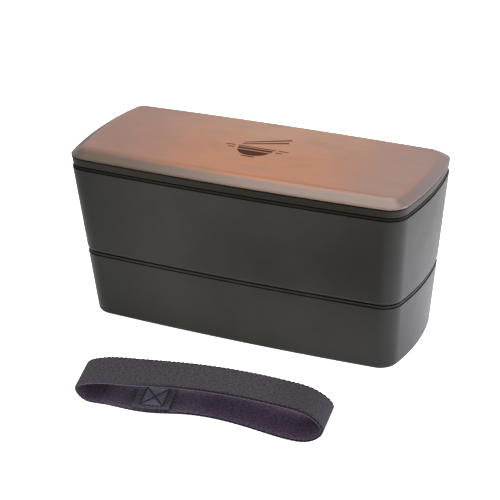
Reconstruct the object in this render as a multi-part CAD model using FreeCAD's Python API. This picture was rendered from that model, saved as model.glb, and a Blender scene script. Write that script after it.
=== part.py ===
"""Two-tier bento lunch box with its elastic carrying band, in millimetres.

Frame: +X along the box, +Y to its back, +Z up. The origin is the centre of the lower
container's foot, on the table. The band lies on the table in front of the box.

Every moulded piece follows one plan outline, a rounded rectangle whose four sides are
shallow arcs. skin() says how far that outline has shrunk at a height, because the walls
have draft, and outline() then offsets it by a further distance. All pieces of one seat
are offsets of the same arcs, so their clearances are even all the way round.
"""

import FreeCAD, Part

import math
import os

V = FreeCAD.Vector

# ---- driving dimensions ------------------------------------------------------------
LENGTH, WIDTH = 205.0, 88.0          # over the upper container's rim, at the middle of each side
END_BOW, SIDE_BOW = 4.6, 2.3         # how far the ends and the long sides bulge past their corners
CORNER = 11.0                        # plan radius of the outer corners
DRAFT = 0.08                         # how far the skin moves inwards per millimetre down
WALL, FLOOR = 2.0, 2.0               # thickness of the containers' walls and floors
OUTER_ROUND, INNER_ROUND = 2.4, 5.0  # rounding under the outer walls, and around the cavity floors

LOWER_RIM = 38.9                     # outer rim edge of the lower container
UPPER_BASE, UPPER_RIM = 40.8, 92.6   # lower edge and rim edge of the upper container
SKIRT_BASE, SKIRT_TOP, TOP = 94.9, 99.8, 104.0   # outer lid: its skirt's two edges, and its top
LID_PROUD, SKIRT_TAPER = 0.35, 0.8   # lid's overhang past the rim, and its skirt's taper downwards
LID_WALL = 2.0                       # thickness of the outer lid
BEVEL = 7.5                          # plan width of the outer lid's sloping border
BEVEL_ROUND, ARRIS_ROUND = 6.0, 0.4  # rounding where that border meets the top, and the skirt

LAND, LAND_INSET = 0.5, 1.2          # raised seat on each rim, and the open groove outside it
FLANGE, FLANGE_INSET = 1.2, 0.45     # inner lid's flange: thickness, and its step in from the skin
PLUG_GAP, PLUG_WALL, PLUG_DEPTH = 0.35, 2.4, 6.0   # inner lid's wall that enters the container
TRAY_DEPTH, PLATE = 2.1, 1.4         # hollow on top of the inner lid, and its plate's thickness
SEAT_GAP = 0.3                       # side clearance of a foot or rib inside that hollow
TRAY_ROUND = 0.25                    # rounding round the floor of that hollow
FOOT, FOOT_RECESS = 1.8, 1.0         # thickness of a foot ring, and depth of the recess inside it

GROOVE_DEPTH, GROOVE_HEIGHT, GROOVE_DROP = 1.1, 2.4, 1.7   # gasket groove in the plug wall
SEAL_SIDE, SEAL_FACE = 0.04, 0.08    # gasket's clearance in its groove, and to the container wall
LIP = 0.45                           # half height of one gasket lip

VALVE_X = 72.0                       # valve's distance from the lid's centre, towards +X
VALVE_HOLE_R, VALVE_STEM_R = 3.0, 2.85
VALVE_HEAD_R, VALVE_HEAD, VALVE_HEAD_ROUND = 5.6, 1.0, 0.4
VALVE_FOOT_R, VALVE_TIP_R, VALVE_FOOT = 3.7, 1.6, 1.6   # barbed foot: its two radii, and its height
VALVE_TRAVEL, VALVE_PLAY = 2.2, 0.1  # how far the valve lifts, and the space left at its highest
VENT = 1.2                           # width of the slot across the stem that lets air past

DIVIDER_X, DIVIDER_T, DIVIDER_H = 22.0, 1.2, 36.0   # place, thickness and height
DIVIDER_GAP, DIVIDER_FOOT = 0.9, 5.0                # clearance to the walls, and half length of its foot
DIVIDER_LIFT = 0.05                                 # clearance to the container's floor
NOTCH_R, NOTCH_H = 16.0, 4.0                        # thumb notch: radius and depth
RIB_OUT, RIB_H, RIB_AT = 1.2, 27.0, 0.55            # divider's ribs: projection, height, place in width

BAND_W, BAND_T = 25.0, 1.5           # width and thickness of the elastic
BAND_AT, BAND_YAW = (15.8, -110.2), 3.0             # where its middle lies, and its turn on the table
BAND_SKEW = -5.0                     # how far its far edge lies along from its near edge
LOOP = [(-56, 0.4), (-40, 0.1), (-26, 0.9), (-8, 3.8), (12, 4.6), (32, 2.7), (52, 0.6), (65, 3.4),
        (71, 10.0), (65.5, 16.2), (49, 20.4), (18, 21.5), (-14, 19.7), (-44, 15.8), (-62.5, 12.7),
        (-71, 7.2), (-68, 2.2)]      # the band's outer face seen from its near edge, as (along, up)
SEAM_AT, SEAM_L = -27.0, 22.0        # middle and length of the sewn overlap
STITCH_L, STITCH_W = 14.0, 18.0      # the stitched rectangle, along and across the band
THREAD = 0.7                         # width of its lines
LOOP_ARCS = 40                       # arcs round the loop
BAND_RISE = max(z for _, z in LOOP)  # height of the loop
SINK = 0.2                           # how deep one added shape enters another, so that they join
LEVEL = 0.01                         # heights closer than this count as one height


# ---- the common outline ------------------------------------------------------------
def skin(z):
    """Inward shift of the containers' outer skin at a height."""
    return DRAFT * (UPPER_RIM - z)


def outline(z, shrink, offset=0.0):
    """Closed wire at height z: the plan outline, taken in by shrink, and then offset inwards.

    Shrinking keeps the corner radius, as a drafted wall does. Offsetting changes it."""
    half_l, half_w = LENGTH / 2 - shrink, WIDTH / 2 - shrink
    side_r = ((half_l - END_BOW) ** 2 + SIDE_BOW**2) / (2 * SIDE_BOW)
    end_r = ((half_w - SIDE_BOW) ** 2 + END_BOW**2) / (2 * END_BOW)
    side_c, end_c = half_w - side_r, half_l - end_r      # arc centres, on Y and on X
    # The corner circle touches both arcs from inside, so its centre is this far from theirs.
    from_side, from_end = side_r - CORNER, end_r - CORNER
    apart = math.hypot(side_c, end_c)
    along = (from_side**2 - from_end**2 + apart**2) / (2 * apart)
    across = math.sqrt(from_side**2 - along**2)
    ux, uy = end_c / apart, -side_c / apart              # unit vector from side centre to end centre
    cx, cy = along * ux + across * uy, side_c + along * uy - across * ux
    to_side, to_end = math.atan2(cy - side_c, cx), math.atan2(cy, cx - end_c)

    def arc(x, y, r, start, stop, mx=1, my=1):
        """Arc about (x, y), mirrored by the signs mx and my, and kept anticlockwise."""
        angles = (start, (start + stop) / 2, stop)
        p = [V(mx * (x + r * math.cos(a)), my * (y + r * math.sin(a)), z) for a in angles]
        return Part.Arc(*(p if mx * my > 0 else p[::-1])).toShape()

    edges = []
    for m in (1, -1):
        edges.append(arc(end_c, 0, end_r - offset, -to_end, to_end, m, m))
        edges.append(arc(cx, cy, CORNER - offset, to_end, to_side, m, m))
        edges.append(arc(0, side_c, side_r - offset, to_side, math.pi - to_side, m, m))
        edges.append(arc(cx, cy, CORNER - offset, to_end, to_side, -m, m))
    return Part.Wire(edges)


def block(*levels):
    """Solid through the outlines at levels of (z, shrink, offset), straight between each two."""
    parts = [Part.makeLoft([outline(*a), outline(*b)], True, True) for a, b in zip(levels, levels[1:])]
    solid = parts[0]
    for more in parts[1:]:
        solid = solid.fuse(more)
    return solid.removeSplitter() if len(parts) > 1 else solid


def ring(z0, z1, shrink, outer, inner):
    """Upright ring between heights z0 and z1, whose two faces are offsets of one outline."""
    hole = block((z0, shrink, inner), (z1, shrink, inner))
    return block((z0, shrink, outer), (z1, shrink, outer)).cut(hole)


def rounded(shape, z, radius):
    """shape with its horizontal edges at height z rounded."""
    boxes = [(edge, edge.BoundBox) for edge in shape.Edges]
    level = [edge for edge, box in boxes if abs(box.ZMin - z) < LEVEL and abs(box.ZMax - z) < LEVEL]
    return shape.makeFillet(radius, level)


# ---- heights and offsets that two pieces share ---------------------------------------
PLUG = WALL + PLUG_GAP               # offset of the inner lid's plug wall
TRAY = PLUG + PLUG_WALL              # offset of the hollow on top of the inner lid
SEAT = TRAY + SEAT_GAP               # offset of the foot or rib that stands in that hollow


def tray_top(rim):
    """Top of the plate inside the hollow of the inner lid on a rim."""
    return rim + LAND + FLANGE - TRAY_DEPTH


def groove_top(rim):
    """Top of the gasket groove in the plug wall of the inner lid on a rim."""
    return rim + LAND - GROOVE_DROP


# ---- containers --------------------------------------------------------------------
def tub(base, rim, foot_shrink):
    """Tapered tub with its cavity, a recess inside its foot, and a raised land round its rim."""
    body = rounded(block((base, skin(base), 0), (rim, skin(rim), 0)), base, OUTER_ROUND)
    body = body.fuse(ring(rim - SINK, rim + LAND, skin(rim), LAND_INSET, WALL + SINK))
    floor = base + FOOT_RECESS + FLOOR
    mouth = rim + LAND
    cavity = block((floor, skin(floor), WALL), (rim, skin(rim), WALL), (mouth, skin(rim), WALL))
    recess = block((base, foot_shrink, SEAT + FOOT), (base + FOOT_RECESS, foot_shrink, SEAT + FOOT))
    return body.cut(rounded(cavity, floor, INNER_ROUND)).cut(recess)


def lower_container():
    """Lower tub. It stands on the ring left round a shallow recess."""
    return tub(0, LOWER_RIM, skin(0))


def upper_container():
    """Upper tub. Its foot ring drops into the hollow of the inner lid below it."""
    shrink = skin(LOWER_RIM)
    foot = ring(tray_top(LOWER_RIM), UPPER_BASE + SINK, shrink, SEAT, SEAT + FOOT)
    return tub(UPPER_BASE, UPPER_RIM, shrink).fuse(foot)


# ---- inner lids --------------------------------------------------------------------
def inner_lid(rim):
    """Inner lid that seals a container: flange, plug wall with its groove, and plate with a valve hole."""
    base, top, plate_top = rim + LAND, rim + LAND + FLANGE, tray_top(rim)
    bottom, plate_base = base - PLUG_DEPTH, plate_top - PLATE
    body = block((base, skin(rim), FLANGE_INSET), (top, skin(rim), FLANGE_INSET))
    body = body.fuse(block((bottom, skin(bottom), PLUG), (base + SINK, skin(rim), PLUG)))
    hollow = block((plate_top, skin(rim), TRAY), (top, skin(rim), TRAY))
    below = block((bottom, skin(bottom), TRAY), (plate_base, skin(rim), TRAY))
    groove_z = groove_top(rim)
    groove = ring(groove_z - GROOVE_HEIGHT, groove_z, skin(groove_z), WALL, PLUG + GROOVE_DEPTH)
    hole = Part.makeCylinder(VALVE_HOLE_R, PLATE, V(VALVE_X, 0, plate_base))
    return body.cut(rounded(hollow, plate_top, TRAY_ROUND)).cut(below).cut(groove).cut(hole)


def gasket(rim):
    """Silicone ring in the plug wall's groove, with two lips that reach the container's wall."""
    top = groove_top(rim) - SEAL_SIDE
    bottom = groove_top(rim) - GROOVE_HEIGHT + SEAL_SIDE
    shrink = skin(groove_top(rim))
    body = block((bottom, shrink, PLUG), (top, shrink, PLUG))
    for z in (bottom + LIP, top - LIP):
        tip = (z, skin(z), WALL + SEAL_FACE)
        body = body.fuse(block((z - LIP, shrink, PLUG), tip, (z + LIP, shrink, PLUG)))
    back = PLUG + GROOVE_DEPTH - SEAL_SIDE
    return body.cut(block((bottom, shrink, back), (top, shrink, back)))


def air_valve(rim):
    """Push-in air valve: flat head, slotted stem, and a barbed foot that stops it coming out."""
    head_z = tray_top(rim)
    foot_z = head_z - PLATE - VALVE_TRAVEL - VALVE_PLAY
    head = rounded(Part.makeCylinder(VALVE_HEAD_R, VALVE_HEAD, V(VALVE_X, 0, head_z)),
                   head_z + VALVE_HEAD, VALVE_HEAD_ROUND)
    stem = Part.makeCylinder(VALVE_STEM_R, head_z - foot_z, V(VALVE_X, 0, foot_z))
    foot = Part.makeCone(VALVE_TIP_R, VALVE_FOOT_R, VALVE_FOOT, V(VALVE_X, 0, foot_z - VALVE_FOOT))
    corner = V(VALVE_X - VENT / 2, -VALVE_FOOT_R, foot_z)
    vent = Part.makeBox(VENT, 2 * VALVE_FOOT_R, head_z - foot_z - PLATE, corner)
    return head.fuse(stem).fuse(foot).cut(vent)


# ---- outer lid ---------------------------------------------------------------------
def outer_lid():
    """Hollow outer lid: skirt, sloping border, flat top, and a rib that enters the inner lid's hollow."""
    taper = SKIRT_TAPER - LID_PROUD
    shell = block((SKIRT_BASE, 0, taper), (SKIRT_TOP, 0, -LID_PROUD), (TOP, 0, BEVEL - LID_PROUD))
    shell = rounded(rounded(shell, TOP, BEVEL_ROUND), SKIRT_TOP, ARRIS_ROUND)
    side = LID_WALL + taper
    roof = TOP - LID_WALL
    eaves = SKIRT_TOP - LID_WALL / 2
    room = block((SKIRT_BASE, 0, side), (eaves, 0, side), (roof, 0, BEVEL + LID_WALL / 4))
    rib = ring(tray_top(UPPER_RIM), roof - SINK, 0, SEAT, SEAT + FOOT)
    return shell.cut(room).fuse(rib)


# ---- divider -----------------------------------------------------------------------
def divider():
    """Loose upright plate across the upper container, on a small foot, with a thumb notch and ribs."""
    floor = UPPER_BASE + FOOT_RECESS + FLOOR
    z0, z1 = floor + DIVIDER_LIFT, floor + DIVIDER_H
    shoulder = z0 + INNER_ROUND

    def half(z):
        """Half width of the plate at a height, clear of the container's wall."""
        return WIDTH / 2 - skin(z) - WALL - DIVIDER_GAP

    low = half(z0) - INNER_ROUND
    notch = math.sqrt(NOTCH_R**2 - (NOTCH_R - NOTCH_H) ** 2)
    right = [V(0, low, z0), V(0, half(shoulder), shoulder), V(0, half(z1), z1), V(0, notch, z1)]
    left = [V(0, -p.y, p.z) for p in reversed(right)]
    edges = [Part.LineSegment(a, b).toShape() for side in (right, left) for a, b in zip(side, side[1:])]
    edges.append(Part.Arc(right[-1], V(0, 0, z1 - NOTCH_H), left[0]).toShape())
    edges.append(Part.LineSegment(left[-1], right[0]).toShape())
    body = Part.Face(Part.Wire(Part.__sortEdges__(edges))).extrude(V(DIVIDER_T, 0, 0))
    body.translate(V(-DIVIDER_T / 2, 0, 0))
    body = body.fuse(Part.makeBox(2 * DIVIDER_FOOT, 2 * low, DIVIDER_T, V(-DIVIDER_FOOT, -low, z0)))
    depth = DIVIDER_T + 2 * RIB_OUT
    for y in (-RIB_AT * low, RIB_AT * low):
        body = body.fuse(Part.makeBox(depth, DIVIDER_T, RIB_H, V(-depth / 2, y - DIVIDER_T / 2, z0)))
    body = body.removeSplitter()
    body.translate(V(DIVIDER_X, 0, 0))
    return body


# ---- elastic band ------------------------------------------------------------------
def loop_solid(depth):
    """Everything inside the loop's outer face, taken in by depth, across the band's width.

    Its outline is a chain of arcs through points on a smooth curve, moved in along the curve's normal."""
    curve = Part.BSplineCurve()
    curve.interpolate([V(u, 0, z) for u, z in LOOP], PeriodicFlag=True)
    step = (curve.LastParameter - curve.FirstParameter) / (2 * LOOP_ARCS)
    points = []
    for i in range(2 * LOOP_ARCS):
        at = curve.FirstParameter + i * step
        along = curve.tangent(at)[0]
        points.append(curve.value(at) + V(-along.z, 0, along.x) * depth)
    points.append(points[0])
    arcs = [Part.Arc(*points[i:i + 3]).toShape() for i in range(0, 2 * LOOP_ARCS, 2)]
    across = V(BAND_SKEW, BAND_W, 0)
    solid = Part.Face(Part.Wire(arcs)).extrude(across)
    solid.translate(-across / 2)
    return solid


def band_layer(depth, thickness):
    """The layer of the loop that starts at a depth below its outer face."""
    return loop_solid(depth).cut(loop_solid(depth + thickness))


def upright(length, width, start, turn=0.0):
    """Box that stands over a strip of the lower run, from start and along a direction."""
    box = Part.makeBox(length, width, BAND_RISE / 2, V(0, -width / 2, 0))
    box.rotate(V(), V(0, 0, 1), turn)
    box.translate(start)
    return box


def on_table(shape):
    """Move shape from the band's own frame to where the band lies."""
    shape.rotate(V(), V(0, 0, 1), BAND_YAW)
    shape.translate(V(*BAND_AT, 0))
    return shape


def elastic_band():
    """The elastic loop, lying on its side, with one end lapped over the other inside the lower run."""
    lap = band_layer(BAND_T - SINK, BAND_T + SINK)
    lap = lap.common(upright(SEAM_L, 2 * BAND_W, V(SEAM_AT - SEAM_L / 2, 0, 0)))
    return on_table(band_layer(0, BAND_T).fuse(lap))


def band_stitching():
    """The sewn rectangle with its two diagonals, lying on the overlap."""
    half_l, half_w = STITCH_L / 2, STITCH_W / 2
    corners = [V(SEAM_AT + x, y, 0) for x, y in
               ((-half_l, -half_w), (half_l, -half_w), (half_l, half_w), (-half_l, half_w))]
    lines = list(zip(corners, corners[1:] + corners[:1]))
    lines += [(corners[0], corners[2]), (corners[1], corners[3])]
    bars = []
    for start, end in lines:
        turn = math.degrees(math.atan2(end.y - start.y, end.x - start.x))
        bars.append(upright((end - start).Length, THREAD, start, turn))
    thread = band_layer(2 * BAND_T, THREAD / 2)
    return on_table(thread.common(bars[0].multiFuse(bars[1:])).removeSplitter())


NODES = {
    "lower_container": lower_container,
    "lower_inner_lid": lambda: inner_lid(LOWER_RIM),
    "lower_gasket": lambda: gasket(LOWER_RIM),
    "lower_air_valve": lambda: air_valve(LOWER_RIM),
    "upper_container": upper_container,
    "upper_inner_lid": lambda: inner_lid(UPPER_RIM),
    "upper_gasket": lambda: gasket(UPPER_RIM),
    "upper_air_valve": lambda: air_valve(UPPER_RIM),
    "divider": divider,
    "outer_lid": outer_lid,
    "elastic_band": elastic_band,
    "band_stitching": band_stitching,
}

os.makedirs("parts", exist_ok=True)
for name, make in NODES.items():
    make().exportStep(f"parts/{name}.step")
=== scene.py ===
"""Looks of the two-tier bento lunch box and its elastic band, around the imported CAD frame.

Metres, +X along the box, +Y to its back, +Z up. The moulded pieces are the CAD's own nodes
with procedural materials. The band, its stitching and the lid's printed icon are built here.
"""

import math

import bpy
import numpy as np
from mathutils import Matrix, Vector


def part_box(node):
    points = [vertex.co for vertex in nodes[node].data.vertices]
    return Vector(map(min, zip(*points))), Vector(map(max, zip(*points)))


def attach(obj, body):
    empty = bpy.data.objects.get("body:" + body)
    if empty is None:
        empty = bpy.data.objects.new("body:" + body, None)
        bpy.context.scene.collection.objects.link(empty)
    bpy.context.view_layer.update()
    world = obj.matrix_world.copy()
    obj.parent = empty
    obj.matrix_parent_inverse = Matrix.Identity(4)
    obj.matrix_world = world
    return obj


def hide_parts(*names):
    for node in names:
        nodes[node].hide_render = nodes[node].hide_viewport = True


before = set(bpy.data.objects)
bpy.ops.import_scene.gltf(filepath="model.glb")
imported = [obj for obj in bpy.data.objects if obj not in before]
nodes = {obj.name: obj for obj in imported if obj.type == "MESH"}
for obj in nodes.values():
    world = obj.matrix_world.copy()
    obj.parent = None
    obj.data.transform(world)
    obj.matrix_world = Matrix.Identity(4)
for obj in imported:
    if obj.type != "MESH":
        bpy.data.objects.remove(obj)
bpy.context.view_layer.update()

MM = 0.001

# ---- sizes -------------------------------------------------------------------------
BAND_W, BAND_T = 25.0 * MM, 1.5 * MM          # width and thickness of the elastic
BAND_AT = Vector((15.8, -110.2, 0.0)) * MM    # where its middle lies
BAND_YAW = math.radians(3.0)                  # its turn on the table
BAND_SKEW = -5.0 * MM                         # how far along its far edge lies from its near edge
LOOP = [(-56, 0.4), (-40, 0.1), (-26, 0.9), (-8, 3.8), (12, 4.6), (32, 2.7), (52, 0.6), (65, 3.4),
        (71, 10.0), (65.5, 16.2), (49, 20.4), (18, 21.5), (-14, 19.7), (-44, 15.8), (-62.5, 12.7),
        (-71, 7.2), (-68, 2.2)]               # the band's outer face seen from its near edge, in mm
BAND_STEP = 0.22 * MM                         # length of the band's mesh faces
FACE_COLUMNS, EDGE_ARC = 44, 7                # mesh columns over one face, and round one edge
SEAM_AT, SEAM_L = -27.0 * MM, 22.0 * MM       # middle and length of the sewn overlap
STITCH_L, STITCH_W = 14.0 * MM, 18.0 * MM     # the stitched rectangle, along and across the band
SCALLOP = 2.6 * MM                            # pitch of the woven edge's loops
FAR_LOOP, NEAR_LOOP = 1.10 * MM, 0.35 * MM    # their height on the far edge and on the near edge
RIB, RIB_H = 1.1 * MM, 0.035 * MM             # pitch and height of the elastic's cross ribs
HEM, HEM_R, HEM_DIP = 0.5 * MM, 0.35 * MM, 0.22 * MM   # groove beside each edge: place, reach, depth
# The strip's small twists, each as its size, its place along the band, and its reach.
ARCH, ARCH_AT, ARCH_L = 2.6 * MM, 40.0 * MM, 24.0 * MM     # far edge's rise in the lower run
LEAN, LEAN_AT, LEAN_L = 1.1 * MM, -48.0 * MM, 28.0 * MM    # far edge's rise in the upper run
TIP, TIP_AT, TIP_L = 2.4 * MM, 50.0 * MM, 21.0 * MM        # near edge's shortening at the right end
TUCK, TUCK_R = 0.32 * MM, 0.9 * MM            # how far a stitched line pulls in, and its reach
YARN = 0.62 * MM                              # width of one yarn
FACE, EDGE = BAND_W - BAND_T, BAND_T * math.pi / 2   # girth of one flat face, and of one rounded edge

STITCH, THREAD_R = 2.3 * MM, 0.30 * MM        # length of one stitch, and radius of its thread
STITCH_GAP = 0.86                             # share of a stitch's length that shows

ICON_AT = Vector((-1.0, -1.0, 0.0)) * MM      # centre of the printed icon on the lid
BOWL_R = 10.5 * MM                            # radius of the bowl in it
PRINT_T, PRINT_SINK = 0.03 * MM, 0.03 * MM    # the ink's height over the lid, and depth in it
LID_DROP = 4.3 * MM                           # height of the lid's sloping border, with its arris

TARGET = Vector((-6.82, 0.0, 40.04)) * MM     # the camera looks here
AZIMUTH, ELEVATION, ROLL = math.radians(25.23), math.radians(25.92), -0.0224
DISTANCE, LENS, SENSOR = 0.9757, 123.1, 36.0

BURST_AT = (0.010, -0.026)                    # middle of the lid's sunburst
BURST_REACH = (0.52, 1.5)                     # its reach, in shares of the lid's length and depth
PAINTED_LIGHT_SPAN_X = 100 * MM                             # the containers' painted light and shade change with the place over this
FLOOR_GLOW_AT = (0.21, -0.01, 0.0)            # middle of the floor's brighter patch
FLOOR_EDGE = (0.66, 0.98)                     # where the floor's light starts and ends fading


# ---- node helpers ------------------------------------------------------------------
class Shader:
    """A node material under construction, with short calls for the nodes that the finishes use."""

    def __init__(self, name):
        self.material = bpy.data.materials.new(name)
        self.material.use_nodes = True
        self.tree = self.material.node_tree
        self.bsdf = self.tree.nodes["Principled BSDF"]
        self.coords = self.tree.nodes.new("ShaderNodeTexCoord")

    def put(self, socket, value):
        """Link an output to a socket, or set the socket to a number or colour."""
        if isinstance(value, bpy.types.NodeSocket):
            self.tree.links.new(value, socket)
        elif isinstance(value, tuple) and len(value) == 3 and socket.type == "RGBA":
            socket.default_value = (*value, 1.0)
        else:
            socket.default_value = value

    def node(self, kind, inputs=(), **settings):
        """A new node with its settings and its inputs, which are named or numbered."""
        made = self.tree.nodes.new("ShaderNode" + kind)
        for key, value in settings.items():
            setattr(made, key, value)
        for key, value in dict(inputs).items():
            self.put(made.inputs[key], value)
        return made

    def math(self, operation, a, b=0.0, c=0.0):
        return self.node("Math", {0: a, 1: b, 2: c}, operation=operation).outputs[0]

    def mix(self, factor, a, b, blend="MIX"):
        made = self.node("Mix", data_type="RGBA", blend_type=blend, clamp_factor=True)
        for key, value in ((0, factor), (6, a), (7, b)):
            self.put(made.inputs[key], value)
        return made.outputs[2]

    def ramp(self, value, *stops):
        """Number ramp through (place, level) stops, smooth between them."""
        made = self.node("ValToRGB", {0: value})
        made.color_ramp.interpolation = "EASE"
        elements = made.color_ramp.elements
        while len(elements) < len(stops):
            elements.new(1.0)
        for element, (place, level) in zip(elements, stops):
            element.position = place
            element.color = (level, level, level, 1.0)
        return made.outputs[0]

    def near(self, value, middle, full, none):
        """1 where a number lies within full of the middle, falling to 0 at none from it."""
        off = self.math("ABSOLUTE", self.math("SUBTRACT", value, middle))
        return self.ramp(self.math("DIVIDE", off, none), (full / none, 1.0), (1.0, 0.0))

    def noise(self, scale, detail=3.0, vector=None, rough=0.55):
        inputs = {"Vector": vector or self.coords.outputs["Object"], "Scale": scale,
                  "Detail": detail, "Roughness": rough}
        return self.node("TexNoise", inputs).outputs[0]

    def stretched(self, x, y, z, source="Object"):
        """Texture coordinates scaled along each axis."""
        inputs = {"Vector": self.coords.outputs[source], "Scale": (x, y, z)}
        return self.node("Mapping", inputs).outputs[0]

    def bump(self, height, distance, strength=1.0, normal=None):
        inputs = {"Height": height, "Distance": distance, "Strength": strength}
        if normal:
            inputs["Normal"] = normal
        return self.node("Bump", inputs).outputs[0]

    def finish(self, color, roughness, normal=None, **extra):
        values = {"Base Color": color, "Roughness": roughness, **extra}
        if normal:
            values["Normal"] = normal
        for key, value in values.items():
            self.put(self.bsdf.inputs[key], value)
        return self.material


# ---- materials ---------------------------------------------------------------------
def moulded_plastic(name, color, rough=0.42, grain=0.012, specular=0.5, cloud=0.12):
    """Satin moulded plastic: fine spark-eroded grain, faint clouding, uneven gloss, and painted light and
    shade by place.
    """
    s = Shader(name)
    cloudy = s.ramp(s.noise(38.0, 4.0), (0.3, 1.0 - cloud), (0.7, 1.0 + cloud))
    tint = s.mix(1.0, color, cloudy, "MULTIPLY")
    # Painted light and shade: the middle of each piece is paler, and its ends are darker.
    away = s.math("ABSOLUTE", s.node("SeparateXYZ", {0: s.coords.outputs["Object"]}).outputs[0])
    painted_light_by_place = s.ramp(s.math("DIVIDE", away, PAINTED_LIGHT_SPAN_X), (0.30, 1.36), (0.95, 0.55))
    tint = s.mix(1.0, tint, painted_light_by_place, "MULTIPLY")
    speckle = s.noise(5200.0, 2.0)
    gloss = s.math("MULTIPLY_ADD", s.noise(70.0, 5.0), 0.10, rough - 0.05)
    fine = s.bump(speckle, grain * MM)
    wavy = s.bump(s.noise(26.0, 2.0), 0.03 * MM, normal=fine)
    return s.finish(tint, gloss, wavy, **{"Specular IOR Level": specular})


def lid_top_color(s, x, y, cloud, across, back):
    """Colour of the lid's top: a warm burst, with a painted grey reflection at the back and a cooler
    painted reflection at the right end.
    """
    low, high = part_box("outer_lid")
    # Distance from the burst's middle, where 1 lies near the ends.
    reach_x, reach_y = (high.x - low.x) * BURST_REACH[0], (high.y - low.y) * BURST_REACH[1]
    dx = s.math("DIVIDE", s.math("SUBTRACT", x, BURST_AT[0]), reach_x)
    dy = s.math("DIVIDE", s.math("SUBTRACT", y, BURST_AT[1]), reach_y)
    radius = s.math("SQRT", s.math("ADD", s.math("POWER", dx, 2.0), s.math("POWER", dy, 2.0)))
    burst = s.ramp(s.math("ADD", radius, cloud), (0.14, 0.0), (1.0, 1.0))
    top = s.mix(burst, (0.285, 0.096, 0.026), (0.165, 0.066, 0.042))
    # Painted reflection: a grey haze towards the back, weaker where the burst is dark.
    clear = s.math("MULTIPLY_ADD", burst, -0.8, 1.0)
    painted_back_reflection = s.math("MULTIPLY", s.ramp(back, (0.40, 0.0), (0.95, 0.62)), clear)
    top = s.mix(painted_back_reflection, top, (0.275, 0.165, 0.105))
    # Painted reflection: a cooler grey at the right end.
    painted_right_reflection = s.mix(s.ramp(back, (0.50, 0.0), (0.95, 1.0)), (0.185, 0.105, 0.082), (0.115, 0.075, 0.070))
    return s.mix(s.ramp(across, (0.68, 0.0), (0.97, 0.8)), top, painted_right_reflection)


def lid_stain(s, top):
    """The top's colour with blotches of stain, longer along the box, and faint fine streaks."""
    blotch = s.noise(1.0, 4.0, s.stretched(60.0, 95.0, 60.0), 0.5)
    top = s.mix(s.ramp(blotch, (0.45, 0.0), (0.75, 0.40)), top, (0.150, 0.070, 0.030))
    blush = s.noise(1.0, 3.0, s.stretched(48.0, 70.0, 140.0), 0.5)
    top = s.mix(s.ramp(blush, (0.50, 0.0), (0.78, 0.40)), top, (0.27, 0.095, 0.060))
    streaks = s.noise(1.0, 6.0, s.stretched(14.0, 260.0, 14.0), 0.62)
    return s.mix(s.ramp(streaks, (0.40, 0.0), (0.80, 0.22)), top, (0.15, 0.055, 0.028))


def lid_finish(name):
    """Brown sunburst lacquer: warm in the middle, with painted reflection that leaves it duller to the
    left and greyer at the back and right, and a painted highlight on the arris.
    """
    s = Shader(name)
    low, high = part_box("outer_lid")
    x, y, z = s.node("SeparateXYZ", {0: s.coords.outputs["Object"]}).outputs
    across = s.math("DIVIDE", s.math("SUBTRACT", x, low.x), high.x - low.x)
    back = s.math("DIVIDE", s.math("SUBTRACT", y, low.y), high.y - low.y)
    cloud = s.math("MULTIPLY_ADD", s.noise(26.0, 4.0), 0.50, -0.25)
    top = lid_stain(s, lid_top_color(s, x, y, cloud, across, back))
    # The border darkens down from the top; painted reflection lightens it to the right and greys it at
    # the right end, and a painted highlight runs along its lower arris.
    down = s.math("DIVIDE", s.math("SUBTRACT", high.z, z), LID_DROP)
    border = s.ramp(s.math("ADD", down, s.math("MULTIPLY", cloud, 0.12)), (0.02, 0.0), (0.42, 1.0))
    # Painted reflection: the front border lighter to the right, and greyer at the right end.
    border_and_reflection = s.mix(s.ramp(across, (0.10, 0.0), (0.65, 1.0)), (0.075, 0.045, 0.027), (0.130, 0.066, 0.036))
    rim = s.mix(s.ramp(across, (0.93, 0.0), (0.985, 1.0)), border_and_reflection, (0.112, 0.074, 0.072))
    color = s.mix(border, top, rim)
    # A painted highlight along the lower arris, stronger to the right.
    arris_highlight = s.ramp(down, (0.88, 0.0), (0.98, 0.45))
    arris = s.math("MULTIPLY", arris_highlight, s.ramp(across, (0.2, 0.0), (0.9, 1.0)))
    color = s.mix(arris, color, (0.26, 0.19, 0.15))
    gloss = s.math("MULTIPLY_ADD", s.noise(60.0, 4.0), 0.08, 0.28)
    # The slope between top and border is eased over a few millimetres.
    eased = s.node("Bevel", {"Radius": 3.0 * MM}, samples=8).outputs[0]
    skin = s.bump(s.noise(2600.0, 2.0), 0.008 * MM, normal=eased)
    wavy = s.bump(s.noise(30.0, 3.0), 0.05 * MM, normal=skin)
    return s.finish(color, gloss, wavy, **{"Coat Weight": 0.35, "Coat Roughness": 0.22})


def lid_shell(name):
    """Dark satin moulding of the outer lid, darker brown and with less sheen in a thin line under the
    lacquer's edge.
    """
    s = Shader(name)
    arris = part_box("outer_lid")[1].z - LID_DROP
    split = s.node("SeparateXYZ", {0: s.coords.outputs["Object"]})
    under = s.math("DIVIDE", s.math("SUBTRACT", arris, split.outputs[2]), 1.6 * MM)
    line = s.ramp(under, (0.0, 1.0), (0.45, 0.9), (0.75, 0.0))
    color = s.mix(line, (0.0150, 0.0108, 0.0062), (0.0035, 0.0016, 0.0008))
    specular = s.math("MULTIPLY_ADD", line, -0.12, 0.16)
    gloss = s.math("MULTIPLY_ADD", s.noise(70.0, 5.0), 0.10, 0.38)
    fine = s.bump(s.noise(5200.0, 2.0), 0.012 * MM)
    return s.finish(color, gloss, fine, **{"Specular IOR Level": specular})


def silicone(name):
    """Matt rubber with a dusty bloom where it catches the light."""
    s = Shader(name)
    bloom = s.ramp(s.noise(160.0, 5.0), (0.4, 0.0), (0.8, 0.5))
    color = s.mix(bloom, (0.022, 0.022, 0.023), (0.05, 0.05, 0.052))
    return s.finish(color, 0.72, s.bump(s.noise(1800.0), 0.02 * MM))


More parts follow.
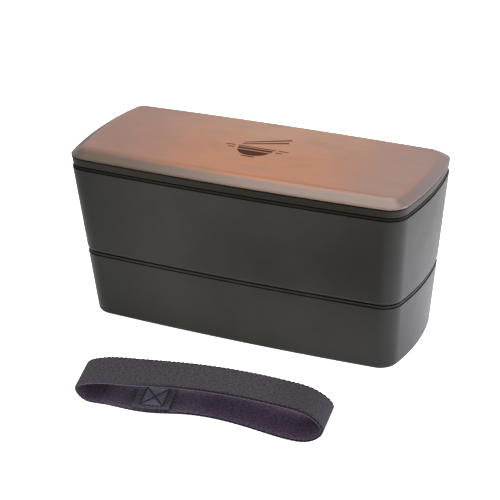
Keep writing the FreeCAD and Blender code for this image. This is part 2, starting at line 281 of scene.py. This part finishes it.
def weave(s, u, v):
    """(raised yarns, melange tone) of small crossing yarns, as in a plain rib weave."""
    # Every other row is shifted by half a yarn.
    row = s.math("FLOOR", s.math("DIVIDE", v, YARN))
    odd = s.math("MULTIPLY", s.math("MODULO", row, 2.0), math.pi)
    along = s.math("SINE", s.math("ADD", s.math("MULTIPLY", u, 2 * math.pi / (1.5 * YARN)), odd))
    across = s.math("ABSOLUTE", s.math("SINE", s.math("MULTIPLY", v, math.pi / YARN)))
    pick = s.math("MULTIPLY", s.math("MULTIPLY_ADD", along, 0.5, 0.5), across)
    melange = s.noise(1.0, 3.0, s.stretched(620.0, 1000.0, 1.0, "UV"), 0.7)
    tone = s.math("MULTIPLY_ADD", pick, 0.30, s.ramp(melange, (0.34, 0.0), (0.66, 0.75)))
    return pick, tone


def faces_color(s, u, v, tone, off_u, right):
    """Colour of the outer face, with painted shade round the right end, and of the purple inner face,
    painted paler than the outer face to offset the shade inside the loop.
    """
    outer = s.mix(tone, (0.013, 0.010, 0.014), (0.074, 0.063, 0.074))
    # Painted shade round the right end, where the band turns.
    turn = s.math("MULTIPLY", s.near(u, right, 12 * MM, 48 * MM), 0.42)
    outer = s.mix(turn, outer, (0.016, 0.014, 0.022))
    # The inner face is purple, and painted paler than the outer face to offset the shade inside the loop.
    inner = s.mix(tone, (0.062, 0.038, 0.073), (0.205, 0.149, 0.228))
    # The inner face is a little paler beside the sewn overlap.
    beside = s.near(off_u, 12 * MM, 8 * MM, 24 * MM)
    inner = s.mix(beside, inner, s.mix(tone, (0.080, 0.060, 0.092), (0.265, 0.215, 0.290)))
    return s.mix(s.math("GREATER_THAN", v, FACE + EDGE / 2), outer, inner)


def sewn_patch(s, v, tone, off_u, color):
    """The colour with the sewn rectangle: its puffs painted pale as lit, crossed by dark lines of painted
    shade where the stitches tuck the cloth in.
    """
    off_v = s.math("ABSOLUTE", s.math("SUBTRACT", v, 1.5 * FACE + EDGE))
    in_u = s.math("DIVIDE", off_u, STITCH_L / 2)
    in_v = s.math("DIVIDE", off_v, STITCH_W / 2)
    sewn = s.math("MULTIPLY", s.math("LESS_THAN", in_u, 1.0), s.math("LESS_THAN", in_v, 1.0))
    line = (0.035, 0.033, 0.050)
    # The puffs between the stitched lines are bluish and painted pale as lit, far paler than the cloth,
    # to offset the shade inside the loop.
    puff_light_and_shade = s.mix(tone, (0.17, 0.17, 0.22), (0.43, 0.43, 0.52))
    # Painted shade in the tucks along the diagonals and along the rectangle's ends.
    puff_light_and_shade = s.mix(s.near(s.math("SUBTRACT", in_u, in_v), 0.0, 0.04, 0.13), puff_light_and_shade, line)
    puff_light_and_shade = s.mix(s.near(off_u, STITCH_L / 2, 0.4 * MM, 0.9 * MM), puff_light_and_shade, line)
    return s.mix(sewn, color, puff_light_and_shade)


def edge_marks_and_painted_light(s, u, v, right, left, color):
    """The colour with a dark dashed line beside the near edge, a painted highlight on the near edge, and
    painted shade on the far edge.
    """
    # e is the distance round the section from the near edge's middle, positive on the outer side.
    e = s.math("MODULO", s.math("ADD", v, 1.5 * EDGE + FACE), 2 * (FACE + EDGE))
    e = s.math("SUBTRACT", e, FACE + EDGE)
    dash = s.math("SINE", s.math("MULTIPLY", u, 2 * math.pi / SCALLOP))
    dark_dashes = s.mix(s.ramp(dash, (0.2, 0.0), (0.8, 1.0)), (0.007, 0.006, 0.008), (0.022, 0.018, 0.024))
    # The dark dashed line is fainter to the left.
    x = s.node("SeparateXYZ", {0: s.coords.outputs["Object"]}).outputs[0]
    fade = s.ramp(s.math("MULTIPLY_ADD", x, 1 / 0.08, 0.06 / 0.08), (0.15, 0.55), (1.0, 1.0))
    dashed_line = s.math("MULTIPLY", s.near(e, 0.25 * MM, 0.75 * MM, 1.15 * MM), fade)
    color = s.mix(dashed_line, color, dark_dashes)
    # The painted highlight on the near edge shows on the upper run only, from the right end round to the
    # left one.
    rise = s.math("DIVIDE", s.math("SUBTRACT", u, right - 9 * MM), 18 * MM)
    fall = s.math("DIVIDE", s.math("SUBTRACT", u, left - 9 * MM), 12 * MM)
    upper = s.math("MULTIPLY", s.ramp(rise, (0.0, 0.0), (1.0, 1.0)), s.ramp(fall, (0.0, 1.0), (1.0, 0.0)))
    painted_edge_highlight = s.math("MULTIPLY", s.near(e, -0.50 * MM, 0.28 * MM, 0.60 * MM), upper)
    color = s.mix(painted_edge_highlight, color, (0.115, 0.098, 0.122))
    # The far edge is darkened with painted shade, and its loops show as teeth.
    far = s.math("SUBTRACT", FACE + EDGE, s.math("ABSOLUTE", e))
    return s.mix(s.near(far, 0.0, 1.2 * MM, 1.9 * MM), color, (0.008, 0.006, 0.009))


def webbing(name, loop):
    """Woven elastic with melange colour, a paler sewn patch of painted lit puffs and shaded tucks, a
    painted highlight and a dark dashed line at the near edge, and painted shade on the far edge.

    Its UVs are the cloth's own metres: u round the loop, and v round the cross-section."""
    s = Shader(name)
    split = s.node("SeparateXYZ", {0: s.coords.outputs["UV"]})
    u, v = split.outputs[0], split.outputs[1]
    right, left = (float(loop.at[f(loop.points[:, 0])]) for f in (np.argmax, np.argmin))
    off_u = s.math("ABSOLUTE", s.math("SUBTRACT", u, float(loop.under(SEAM_AT))))
    pick, tone = weave(s, u, v)
    color = faces_color(s, u, v, tone, off_u, right)
    color = sewn_patch(s, v, tone, off_u, color)
    if left < right:
        left += loop.length
    color = edge_marks_and_painted_light(s, u, v, right, left, color)
    fuzz = s.noise(1.0, 4.0, s.stretched(2400.0, 2400.0, 1.0, "UV"))
    height = s.math("ADD", pick, s.math("MULTIPLY", fuzz, 0.45))
    normal = s.bump(height, 0.20 * MM, 0.9)
    return s.finish(color, 0.9, normal, **{"Sheen Weight": 0.06, "Sheen Roughness": 0.5,
                                           "Specular IOR Level": 0.12})


def thread_finish(name):
    """Twisted polyester thread: a fine diagonal lay along each stitch."""
    s = Shader(name)
    lay = s.noise(1.0, 3.0, s.stretched(5200.0, 5200.0, 5200.0))
    color = s.mix(s.ramp(lay, (0.3, 0.0), (0.7, 1.0)), (0.010, 0.009, 0.020), (0.035, 0.033, 0.060))
    return s.finish(color, 0.6, s.bump(lay, 0.06 * MM), **{"Sheen Weight": 0.3})


def ink(name):
    """Pad-printed dark brown ink, a little patchy."""
    s = Shader(name)
    patchy = s.ramp(s.noise(1500.0, 4.0), (0.35, 0.0), (0.75, 0.5))
    color = s.mix(patchy, (0.038, 0.011, 0.005), (0.085, 0.028, 0.014))
    return s.finish(color, 0.8, **{"Specular IOR Level": 0.12})


def white_floor(name):
    """Pale floor lit softly from below like a light table, more so to the right of the box."""
    s = Shader(name)
    place = s.coords.outputs["Object"]
    out = s.node("VectorMath", {0: place, 1: (0.0, 0.0, 0.0)}, operation="DISTANCE").outputs["Value"]
    away = s.node("VectorMath", {0: place, 1: FLOOR_GLOW_AT}, operation="DISTANCE").outputs["Value"]
    start, end = FLOOR_EDGE
    tone = s.math("MULTIPLY", s.ramp(s.noise(9.0, 3.0), (0.3, 0.90), (0.7, 0.92)),
                  s.ramp(out, (start, 1.0), (end, 0.45)))
    glow = s.math("MULTIPLY_ADD", s.ramp(away, (0.03, 1.0), (0.21, 0.0)), 1.5, 0.36)
    glow = s.math("MULTIPLY", glow, s.ramp(out, (start, 1.0), (end, 0.0)))
    # To the left of the box it is dim.
    side = s.math("MULTIPLY_ADD", s.node("SeparateXYZ", {0: place}).outputs[0], 1 / 0.30, 0.40 / 0.30)
    dim = s.ramp(side, (0.10, 0.25), (0.92, 1.0))
    tone = s.math("MULTIPLY", tone, dim)
    glow = s.math("MULTIPLY", glow, dim)
    color = s.mix(s.ramp(away, (0.05, 1.0), (0.30, 0.0)), (1.0, 1.0, 1.0), (0.84, 0.86, 1.0))
    # The camera sees it brighter than it lights the object, so no shadow shows on it.
    glow = s.math("ADD", glow, s.node("LightPath").outputs["Is Camera Ray"])
    return s.finish(tone, 0.9, **{"Specular IOR Level": 0.1, "Emission Strength": glow,
                                  "Emission Color": color})


# ---- mesh helpers ------------------------------------------------------------------
def mesh_piece(name, vertices, faces, material, uvs=None):
    """A smooth-shaded mesh object from vertices and faces. uvs holds one pair for each corner."""
    mesh = bpy.data.meshes.new(name)
    mesh.from_pydata([tuple(v) for v in vertices], [], [tuple(f) for f in faces])
    mesh.polygons.foreach_set("use_smooth", [True] * len(mesh.polygons))
    if uvs is not None:
        mesh.uv_layers.new(name="cloth").data.foreach_set("uv", np.asarray(uvs, np.float32).ravel())
    mesh.materials.append(material)
    mesh.update()
    piece = bpy.data.objects.new(name, mesh)
    bpy.context.scene.collection.objects.link(piece)
    return piece


# ---- the elastic band --------------------------------------------------------------
class Loop:
    """The band's outer face seen from its near edge, as a closed smooth curve resting on the table."""

    def __init__(self, points):
        p = np.array(points, float) * MM
        n = len(p)
        gaps = np.hypot(*(np.roll(p, -1, 0) - p).T)
        # Closed cubic spline: the slopes m make the second derivative continuous at every point.
        system, right = np.zeros((n, n)), np.zeros((n, 2))
        for i in range(n):
            before, after = gaps[i - 1], gaps[i]
            system[i, i - 1] += after
            system[i, i] += 2 * (before + after)
            system[i, (i + 1) % n] += before
            rise, fall = p[(i + 1) % n] - p[i], p[i] - p[i - 1]
            right[i] = 3 * (before * rise / after + after * fall / before)
        slopes = np.linalg.solve(system, right)
        fine = []
        for i in range(n):
            t = np.linspace(0, 1, 200, endpoint=False)[:, None]
            a, b, h = p[i], p[(i + 1) % n], gaps[i]
            ma, mb = slopes[i] * h, slopes[(i + 1) % n] * h
            fine.append((1 + 2 * t) * (1 - t)**2 * a + t * (1 - t)**2 * ma
                        + t**2 * (3 - 2 * t) * b + t**2 * (t - 1) * mb)
        fine = np.concatenate(fine)
        fine[:, 1] -= fine[:, 1].min()
        self.points = np.vstack([fine, fine[:1]])
        self.at = np.concatenate([[0], np.cumsum(np.hypot(*np.diff(self.points, axis=0).T))])
        self.length = self.at[-1]

    def place(self, s):
        """(points, inward normals) at distances s round the loop."""
        s = np.mod(s, self.length)
        step = 0.3 * MM

        def point(q):
            q = np.mod(q, self.length)
            return np.column_stack([np.interp(q, self.at, self.points[:, k]) for k in (0, 1)])

        along = point(s + step) - point(s - step)
        along /= np.hypot(*along.T)[:, None]
        return point(s), np.column_stack([-along[:, 1], along[:, 0]])

    def under(self, u):
        """Distance round the loop of the lower run's point at u along the band."""
        half = np.argmax(self.points[:, 0])
        return np.interp(u, self.points[:half, 0], self.at[:half])


def band_space(loop, s, v, depth):
    """Row-frame points at s round the loop, v across it, and depth in from its outer face."""
    point, inward = loop.place(s)
    u = point[:, 0] + inward[:, 0] * depth + BAND_SKEW * v / BAND_W
    z = point[:, 1] + inward[:, 1] * depth
    u = u - TIP * np.clip(0.5 - v / BAND_W, 0, 1) * np.clip((point[:, 0] - TIP_AT) / TIP_L, 0, 1)**2
    # The strip is twisted a little, so its far edge rises above its near edge in two places.
    lower = np.clip(inward[:, 1], 0, 1) * np.exp(-((point[:, 0] - ARCH_AT) / ARCH_L)**2)
    upper = np.clip(-inward[:, 1], 0, 1) * np.exp(-((point[:, 0] - LEAN_AT) / LEAN_L)**2)
    z += (ARCH * lower + LEAN * upper) * np.clip(v / BAND_W + 0.5, 0, 1)**1.5
    cos, sin = math.cos(BAND_YAW), math.sin(BAND_YAW)
    return np.column_stack([BAND_AT.x + u * cos - v * sin, BAND_AT.y + u * sin + v * cos, z])


def stitch_lines():
    """The stitched rectangle's sides and diagonals, as (start, end) pairs of (along, across)."""
    l, w = STITCH_L / 2, STITCH_W / 2
    corners = [(SEAM_AT + x, y) for x, y in ((-l, -w), (l, -w), (l, w), (-l, w))]
    sides = list(zip(corners, corners[1:] + corners[:1]))
    return sides + [(corners[0], corners[2]), (corners[1], corners[3])]


def tuck(u, v):
    """How far the stitched lines pull the cloth in at (u, v)."""
    nearest = np.full(len(u), 1.0)
    for (x0, y0), (x1, y1) in stitch_lines():
        dx, dy = x1 - x0, y1 - y0
        t = np.clip(((u - x0) * dx + (v - y0) * dy) / (dx * dx + dy * dy), 0, 1)
        nearest = np.minimum(nearest, np.hypot(u - x0 - t * dx, v - y0 - t * dy))
    return TUCK * np.exp(-(nearest / TUCK_R)**2)


def cross_section(width, thickness):
    """Closed cross-section of the strip as (across, depth, edge share) rows, starting on its outer face.

    The edge share runs from 0 on the faces to 1 at the middle of an edge."""
    half, r = width / 2, thickness / 2
    rows = [(v, 0.0, 0.0) for v in np.linspace(-half + r, half - r, FACE_COLUMNS)]
    turns = np.linspace(0, math.pi, EDGE_ARC + 2)[1:-1]
    rows += [(half - r + r * math.sin(a), r - r * math.cos(a), math.sin(a)) for a in turns]
    rows += [(-v, thickness, 0.0) for v, _, _ in rows[:FACE_COLUMNS]]
    rows += [(-half + r - r * math.sin(a), r + r * math.cos(a), math.sin(a)) for a in turns]
    return np.array(rows)


def strip(name, loop, start, length, depth, material, closed, puffed):
    """A strip of elastic round the loop from start, with ribs, scalloped edges and cloth UVs."""
    stations = int(round(length / BAND_STEP))
    s = start + np.linspace(0, length, stations, endpoint=not closed)
    section = cross_section(BAND_W, BAND_T)
    columns = len(section)
    vertices = []
    for v0, d0, edge in section:
        side = np.sign(v0)
        loops = np.abs(np.sin(math.pi * s / SCALLOP))**0.8
        v = v0 + side * edge * (FAR_LOOP if side > 0 else NEAR_LOOP) * (loops - 0.45)
        outer = 1.0 if d0 < BAND_T / 2 else -1.0
        rib = RIB_H * np.cos(2 * math.pi * s / RIB) * (1 - edge)
        from_edge = BAND_W / 2 - BAND_T / 2 - abs(v0)
        hem = HEM_DIP * math.exp(-((from_edge - HEM) / HEM_R)**2)
        d = depth + d0 + (rib + hem) * outer
        if puffed:
            u = loop.place(s)[0][:, 0]
            top = max(0.0, (d0 - BAND_T / 2) / (BAND_T / 2))
            d = d - tuck(u, np.full(stations, v0)) * top
        vertices.append(band_space(loop, s, v, d))
    vertices = np.stack(vertices, 1).reshape(-1, 3)
    girth = np.concatenate([[0], np.cumsum(np.hypot(*np.diff(section[:, :2], axis=0).T))])
    closing = girth[-1] + np.hypot(*(section[0, :2] - section[-1, :2]))
    faces, uvs = [], []
    for i in range(stations if closed else stations - 1):
        j = (i + 1) % stations
        s0, s1 = s[i], s[i] + length / stations
        for c in range(columns):
            e = (c + 1) % columns
            faces.append((i * columns + c, i * columns + e, j * columns + e, j * columns + c))
            g0, g1 = girth[c], girth[e] if e else closing
            uvs += [(s0, g0), (s0, g1), (s1, g1), (s1, g0)]
    if not closed:
        last = (stations - 1) * columns
        for cap in (list(range(columns))[::-1], [last + c for c in range(columns)]):
            faces.append(cap)
            uvs += [(0.0, girth[c % columns]) for c in cap]
    return mesh_piece(name, vertices, faces, material, uvs)


def stitches(name, loop, material):
    """Single thread stitches along the stitched lines, each a small arch that dips in at both ends."""
    rings, sides = 9, 8
    vertices, faces = [], []
    for start, end in stitch_lines():
        start, end = np.array(start), np.array(end)
        length = np.hypot(*(end - start))
        count = int(round(length / STITCH))
        along = (end - start) / length
        side = np.array([-along[1], along[0]])
        for k in range(count):
            t = (k + 0.5 + (np.linspace(-0.5, 0.5, rings)) * STITCH_GAP) / count
            arch = np.sqrt(np.clip(np.sin(np.linspace(0, math.pi, rings)), 0, 1))
            lift = -0.40 * MM + 0.50 * MM * arch
            first = len(vertices)
            for ti, li in zip(t, lift):
                centre = start + along * length * ti
                for m in range(sides):
                    a = 2 * math.pi * m / sides
                    spot = centre + side * THREAD_R * math.cos(a)
                    vertices.append((spot[0], spot[1], li + THREAD_R * math.sin(a)))
            for i in range(rings - 1):
                for m in range(sides):
                    n = (m + 1) % sides
                    a, b = first + i * sides, first + (i + 1) * sides
                    faces.append((a + m, a + n, b + n, b + m))
            faces.append(tuple(first + m for m in reversed(range(sides))))
            faces.append(tuple(first + (rings - 1) * sides + m for m in range(sides)))
    flat = np.array(vertices)
    placed = band_space(loop, loop.under(flat[:, 0]), flat[:, 1], 2 * BAND_T + flat[:, 2] - TUCK * 0.6)
    return mesh_piece(name, placed, faces, material)


def build_band():
    """The elastic loop, its sewn overlap and the stitches, all riding on the band's body."""
    loop = Loop(LOOP)
    cloth = webbing("elastic_webbing", loop)
    main = strip("elastic_band_loop", loop, 0.0, loop.length, 0.0, cloth, True, False)
    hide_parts("elastic_band")
    start = float(loop.under(SEAM_AT - SEAM_L / 2))
    lap = strip("elastic_band_overlap", loop, start, SEAM_L, BAND_T - 0.06 * MM, cloth, False, True)
    thread = stitches("band_stitches", loop, thread_finish("sewing_thread"))
    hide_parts("band_stitching")
    for piece, slot in ((main, "elastic_webbing"), (lap, "elastic_webbing"), (thread, "sewing_thread")):
        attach(piece, "elastic_band")


# ---- the printed icon --------------------------------------------------------------
def printed(outlines, name, material):
    """Thin plates of ink on the lid's top, one for each closed outline of (x, y) points."""
    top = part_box("outer_lid")[1].z
    vertices, faces = [], []
    for outline in outlines:
        first, n = len(vertices), len(outline)
        for z in (top - PRINT_SINK, top + PRINT_T):
            vertices += [(x + ICON_AT.x, y + ICON_AT.y, z) for x, y in outline]
        faces.append([first + n + i for i in range(n)])
        faces.append([first + i for i in reversed(range(n))])
        for i in range(n):
            j = (i + 1) % n
            faces.append((first + i, first + j, first + n + j, first + n + i))
    piece = mesh_piece(name, vertices, faces, material)
    piece.data.polygons.foreach_set("use_smooth", [False] * len(piece.data.polygons))
    return piece


def bar(x0, y0, x1, y1, w0, w1):
    """Outline of a straight bar from one point to another, tapering from width w0 to w1."""
    length = math.hypot(x1 - x0, y1 - y0)
    nx, ny = -(y1 - y0) / length / 2, (x1 - x0) / length / 2
    return [(x0 - nx * w0, y0 - ny * w0), (x1 - nx * w1, y1 - ny * w1),
            (x1 + nx * w1, y1 + ny * w1), (x0 + nx * w0, y0 + ny * w0)]


def build_icon():
    """A plain bowl with chopsticks over it, between two pairs of short rules."""
    brim, deep = -0.6 * MM, 0.95 * BOWL_R
    cut = math.asin(3.4 * MM / deep)
    turn = [math.pi + cut + (math.pi - 2 * cut) * i / 32 for i in range(33)]
    body = [(BOWL_R * math.cos(a), deep * math.sin(a) + brim) for a in turn]
    slope = BOWL_R * math.cos(math.asin(2.3 * MM / deep))
    stripe = [(-BOWL_R, brim), (-slope, brim - 2.3 * MM), (slope, brim - 2.3 * MM), (BOWL_R, brim)]
    rim = bar(-BOWL_R - 0.9 * MM, 0.8 * MM, BOWL_R + 0.9 * MM, 0.8 * MM, 1.0 * MM, 1.0 * MM)
    base = brim - deep - 1.3 * MM
    foot = bar(-4.0 * MM, base, 4.0 * MM, base, 1.1 * MM, 1.1 * MM)
    sticks = [bar(-10.0 * MM, 3.4 * MM + gap, 14.0 * MM, 13.0 * MM + gap * 1.9, 0.9 * MM, 1.6 * MM)
              for gap in (0.0, 2.4 * MM)]
    rules = []
    for y, near, far in ((0.8 * MM, 13.0 * MM, 19.0 * MM), (-2.2 * MM, 12.4 * MM, 16.5 * MM)):
        rules += [bar(near, y, far, y, 0.9 * MM, 0.9 * MM), bar(-far, y, -near, y, 0.9 * MM, 0.9 * MM)]
    icon = printed([body, stripe, rim, foot, *sticks, *rules], "lid_icon", ink("printing_ink"))
    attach(icon, "outer_lid")


# ---- finishes of the CAD nodes -----------------------------------------------------
def paint(node, material):
    """Give a whole CAD node one material."""
    node.data.materials.clear()
    node.data.materials.append(material)


def paint_outer_lid(lid, shell, finish):
    """Dark moulding, with the lacquer on the outside above the lower edge of the sloping border."""
    lid.data.materials.clear()
    lid.data.materials.append(shell)
    lid.data.materials.append(finish)
    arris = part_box("outer_lid")[1].z - LID_DROP
    for face in lid.data.polygons:
        face.material_index = int(face.center.z > arris and face.normal.z > 0.12)


def paint_frame():
    """All the moulded and rubber pieces."""
    charcoal = moulded_plastic("container_abs", (0.0185, 0.0172, 0.0125), specular=0.22)
    # The two inner lids are one plastic in lit and shaded copies: the upper one is painted darker, as
    # painted shade under the outer lid's overhang.
    lower = moulded_plastic("lower_lid_pe", (0.0190, 0.0175, 0.0140), rough=0.5, specular=0.2)
    upper = moulded_plastic("upper_lid_pe_painted_shade", (0.0085, 0.0076, 0.0060), rough=0.5, specular=0.12)
    partition = moulded_plastic("divider_pp", (0.022, 0.021, 0.019), rough=0.38, specular=0.4)
    rubber = silicone("silicone_seal")
    for name in ("lower_container", "upper_container"):
        paint(nodes[name], charcoal)
    for tier, plastic in (("lower", lower), ("upper", upper)):
        paint(nodes[f"{tier}_inner_lid"], plastic)
        paint(nodes[f"{tier}_gasket"], rubber)
        paint(nodes[f"{tier}_air_valve"], rubber)
    paint(nodes["divider"], partition)
    paint_outer_lid(nodes["outer_lid"], lid_shell("outer_lid_shell"), lid_finish("outer_lid_finish"))


# ---- studio ------------------------------------------------------------------------
def build_floor():
    """A wide pale floor that fills the view."""
    n, half = 24, 3.0
    grid = np.linspace(-half, half, n)
    vertices = [(x, y, -0.02 * MM) for y in grid for x in grid]
    faces = [(r * n + c, r * n + c + 1, (r + 1) * n + c + 1, (r + 1) * n + c)
             for r in range(n - 1) for c in range(n - 1)]
    floor = mesh_piece("floor", vertices, faces, white_floor("floor_paper"))


def area_light(name, place, aim, size, power, color=(1.0, 1.0, 1.0)):
    """A rectangular soft light at place, turned to aim."""
    light = bpy.data.lights.new(name, "AREA")
    light.shape = "RECTANGLE"
    light.size, light.size_y = size
    light.energy, light.color = power, color
    lamp = bpy.data.objects.new(name, light)
    lamp.location = place
    lamp.rotation_euler = (Vector(aim) - Vector(place)).to_track_quat("-Z", "Y").to_euler()
    bpy.context.scene.collection.objects.link(lamp)


def build_lights():
    """White surroundings, dimmer to the left, with a large overhead softbox and one to the right."""
    world = bpy.data.worlds.new("studio")
    world.use_nodes = True
    tree = world.node_tree
    split = tree.nodes.new("ShaderNodeSeparateXYZ")
    tree.links.new(tree.nodes.new("ShaderNodeTexCoord").outputs["Generated"], split.inputs[0])
    level = tree.nodes.new("ShaderNodeMath")
    level.operation = "MULTIPLY_ADD"
    level.inputs[1].default_value, level.inputs[2].default_value = 0.16, 0.82
    tree.links.new(split.outputs[0], level.inputs[0])
    tree.nodes["Background"].inputs[0].default_value = (1.0, 1.0, 1.0, 1.0)
    tree.links.new(level.outputs[0], tree.nodes["Background"].inputs[1])
    bpy.context.scene.world = world
    area_light("overhead", (0.06, 0.05, 1.2), (0.06, 0.0, 0.0), (1.2, 0.8), 10.0)
    area_light("right", (1.1, 0.30, 0.55), (0.05, 0.0, 0.03), (0.8, 0.5), 8.0)
    bpy.context.scene.view_settings.view_transform = "Standard"


def build_camera():
    """The camera's place and turn about the box."""
    back = Vector((math.sin(AZIMUTH) * math.cos(ELEVATION), -math.cos(AZIMUTH) * math.cos(ELEVATION),
                   math.sin(ELEVATION)))
    camera = bpy.data.cameras.new("camera")
    camera.lens, camera.sensor_width = LENS, SENSOR
    camera.clip_end = 20.0
    eye = bpy.data.objects.new("camera", camera)
    eye.location = TARGET + back * DISTANCE
    turn = (-back).to_track_quat("-Z", "Y").to_matrix().to_4x4()
    eye.rotation_euler = (turn @ Matrix.Rotation(ROLL, 4, "Z")).to_euler()
    bpy.context.scene.collection.objects.link(eye)
    bpy.context.scene.camera = eye


paint_frame()
build_band()
build_icon()
build_floor()
build_lights()
build_camera()
